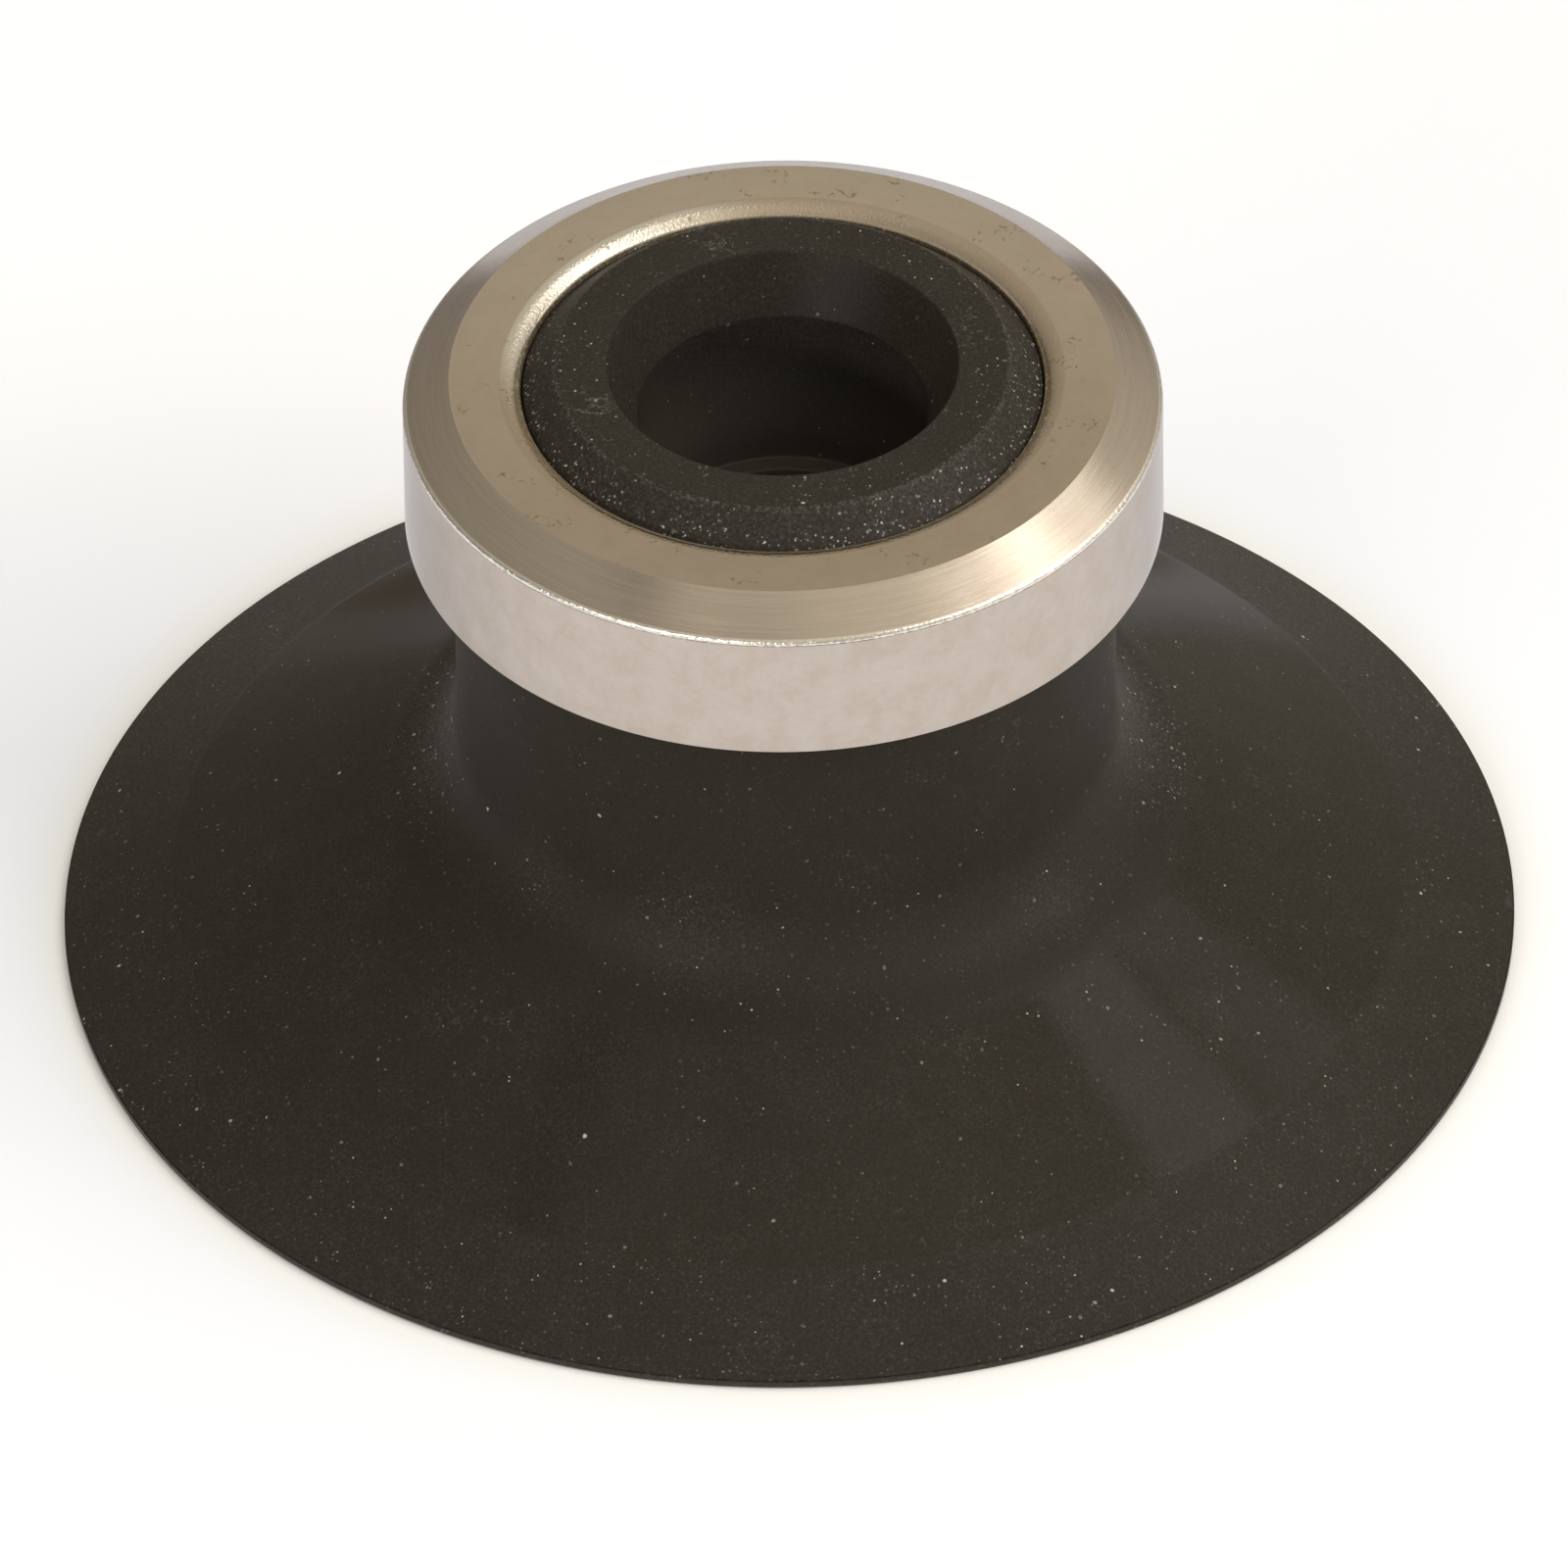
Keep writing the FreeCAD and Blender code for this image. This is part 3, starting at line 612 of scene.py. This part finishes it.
world = bpy.data.worlds.new("room")
bpy.context.scene.world = world
world.use_nodes = True
background = world.node_tree.nodes["Background"]
toward = Wire(world.node_tree.nodes.new("ShaderNodeTexCoord").outputs["Generated"])
side, top = toward.along("X"), toward.along("Z")
near_window = toward.add(
    "ShaderNodeVectorMath", {"operation": "DOT_PRODUCT"}, {0: toward, 1: WINDOW}, output="Value"
)
glow = near_window.rise(0.75, 1.0) * WINDOW_GLOW
across, along = side / top, toward.along("Y") / top
beam = across.band(*BEAM_ACROSS) * along.band(*BEAM_ALONG)
panel = across.band(*PANEL_ACROSS) * along.band(*PANEL_ALONG)
room = ROOM_LEVEL + ROOM_SIDE * side + ROOM_TOP * top + glow - BEAM_DARK * beam + PANEL_PALE * panel
straight = toward.add("ShaderNodeLightPath", output="Is Camera Ray")
wear(background, Color=straight.mix(ROOM, WHITE), Strength=room + straight * (1 - room))

LAMP_DISTANCE = 1.5


def soft_box(name, direction, across, degrees, radiance, colour, in_reflections=True):
    """A rectangular lamp that faces the cup, given by the angles that it fills as seen from there."""
    away = Vector(direction).normalized()
    level = (Vector(across) - away * away.dot(Vector(across))).normalized()
    width, length = (2 * LAMP_DISTANCE * math.tan(math.radians(angle / 2)) for angle in degrees)
    lamp = bpy.data.lights.new(name, "AREA")
    lamp.shape = "RECTANGLE"
    lamp.size, lamp.size_y = width, length
    lamp.energy = radiance * math.pi * width * length
    lamp.color = colour
    box = bpy.data.objects.new(name, lamp)
    bpy.context.scene.collection.objects.link(box)
    axes = Matrix((level, away.cross(level), away)).transposed()
    box.matrix_world = Matrix.Translation(away * LAMP_DISTANCE) @ axes.to_4x4()
    box.visible_glossy = in_reflections


DAYLIGHT, SKYLIGHT = (1.0, 0.95, 0.87), (0.78, 0.89, 1.0)
WINDOW_SLANT = (0.447, 0.763, -0.465)
soft_box("upper_pane", (0.545, 0.181, 0.8185), WINDOW_SLANT, (12.3, 40), 1.85, DAYLIGHT)
soft_box("lower_pane", (0.625, 0.377, 0.685), WINDOW_SLANT, (12, 40), 0.9, DAYLIGHT)
soft_box("window_head", (0.5475, -0.117, 0.839), WINDOW_SLANT, (14, 16), 0.66, DAYLIGHT)
soft_box("right_box", (0.785, -0.265, 0.56), (0.42, 0.66, -0.281), (44, 17), 4.5, DAYLIGHT)
soft_box("front_left_strip", (-0.5525, -0.7605, 0.342), (0.81, -0.588, 0), (42, 6), 14.0, DAYLIGHT)
soft_box("fill", (0.4, -0.55, 0.72), (1, 1, 0), (50, 50), 0.95, SKYLIGHT, in_reflections=False)

# Camera
# A long lens at some height in front of the cup, leaning a little to one side.

ELEVATION, ROLL = math.radians(40), math.radians(-0.75)
DISTANCE, FRAME_WIDTH = 2.0, 64.75 * MM
AIM = Vector((-0.154, 0, 7.13)) * MM

camera_data = bpy.data.cameras.new("camera")
camera = bpy.data.objects.new("camera", camera_data)
bpy.context.scene.collection.objects.link(camera)
bpy.context.scene.camera = camera
back = Vector((0, -math.cos(ELEVATION), math.sin(ELEVATION)))
camera.location = AIM + back * DISTANCE
camera.rotation_mode = "QUATERNION"
camera.rotation_quaternion = (-back).to_track_quat("-Z", "Y") @ Quaternion((0, 0, 1), ROLL)
camera_data.lens = camera_data.sensor_width * DISTANCE / FRAME_WIDTH
bpy.context.scene.view_settings.view_transform = "Standard"
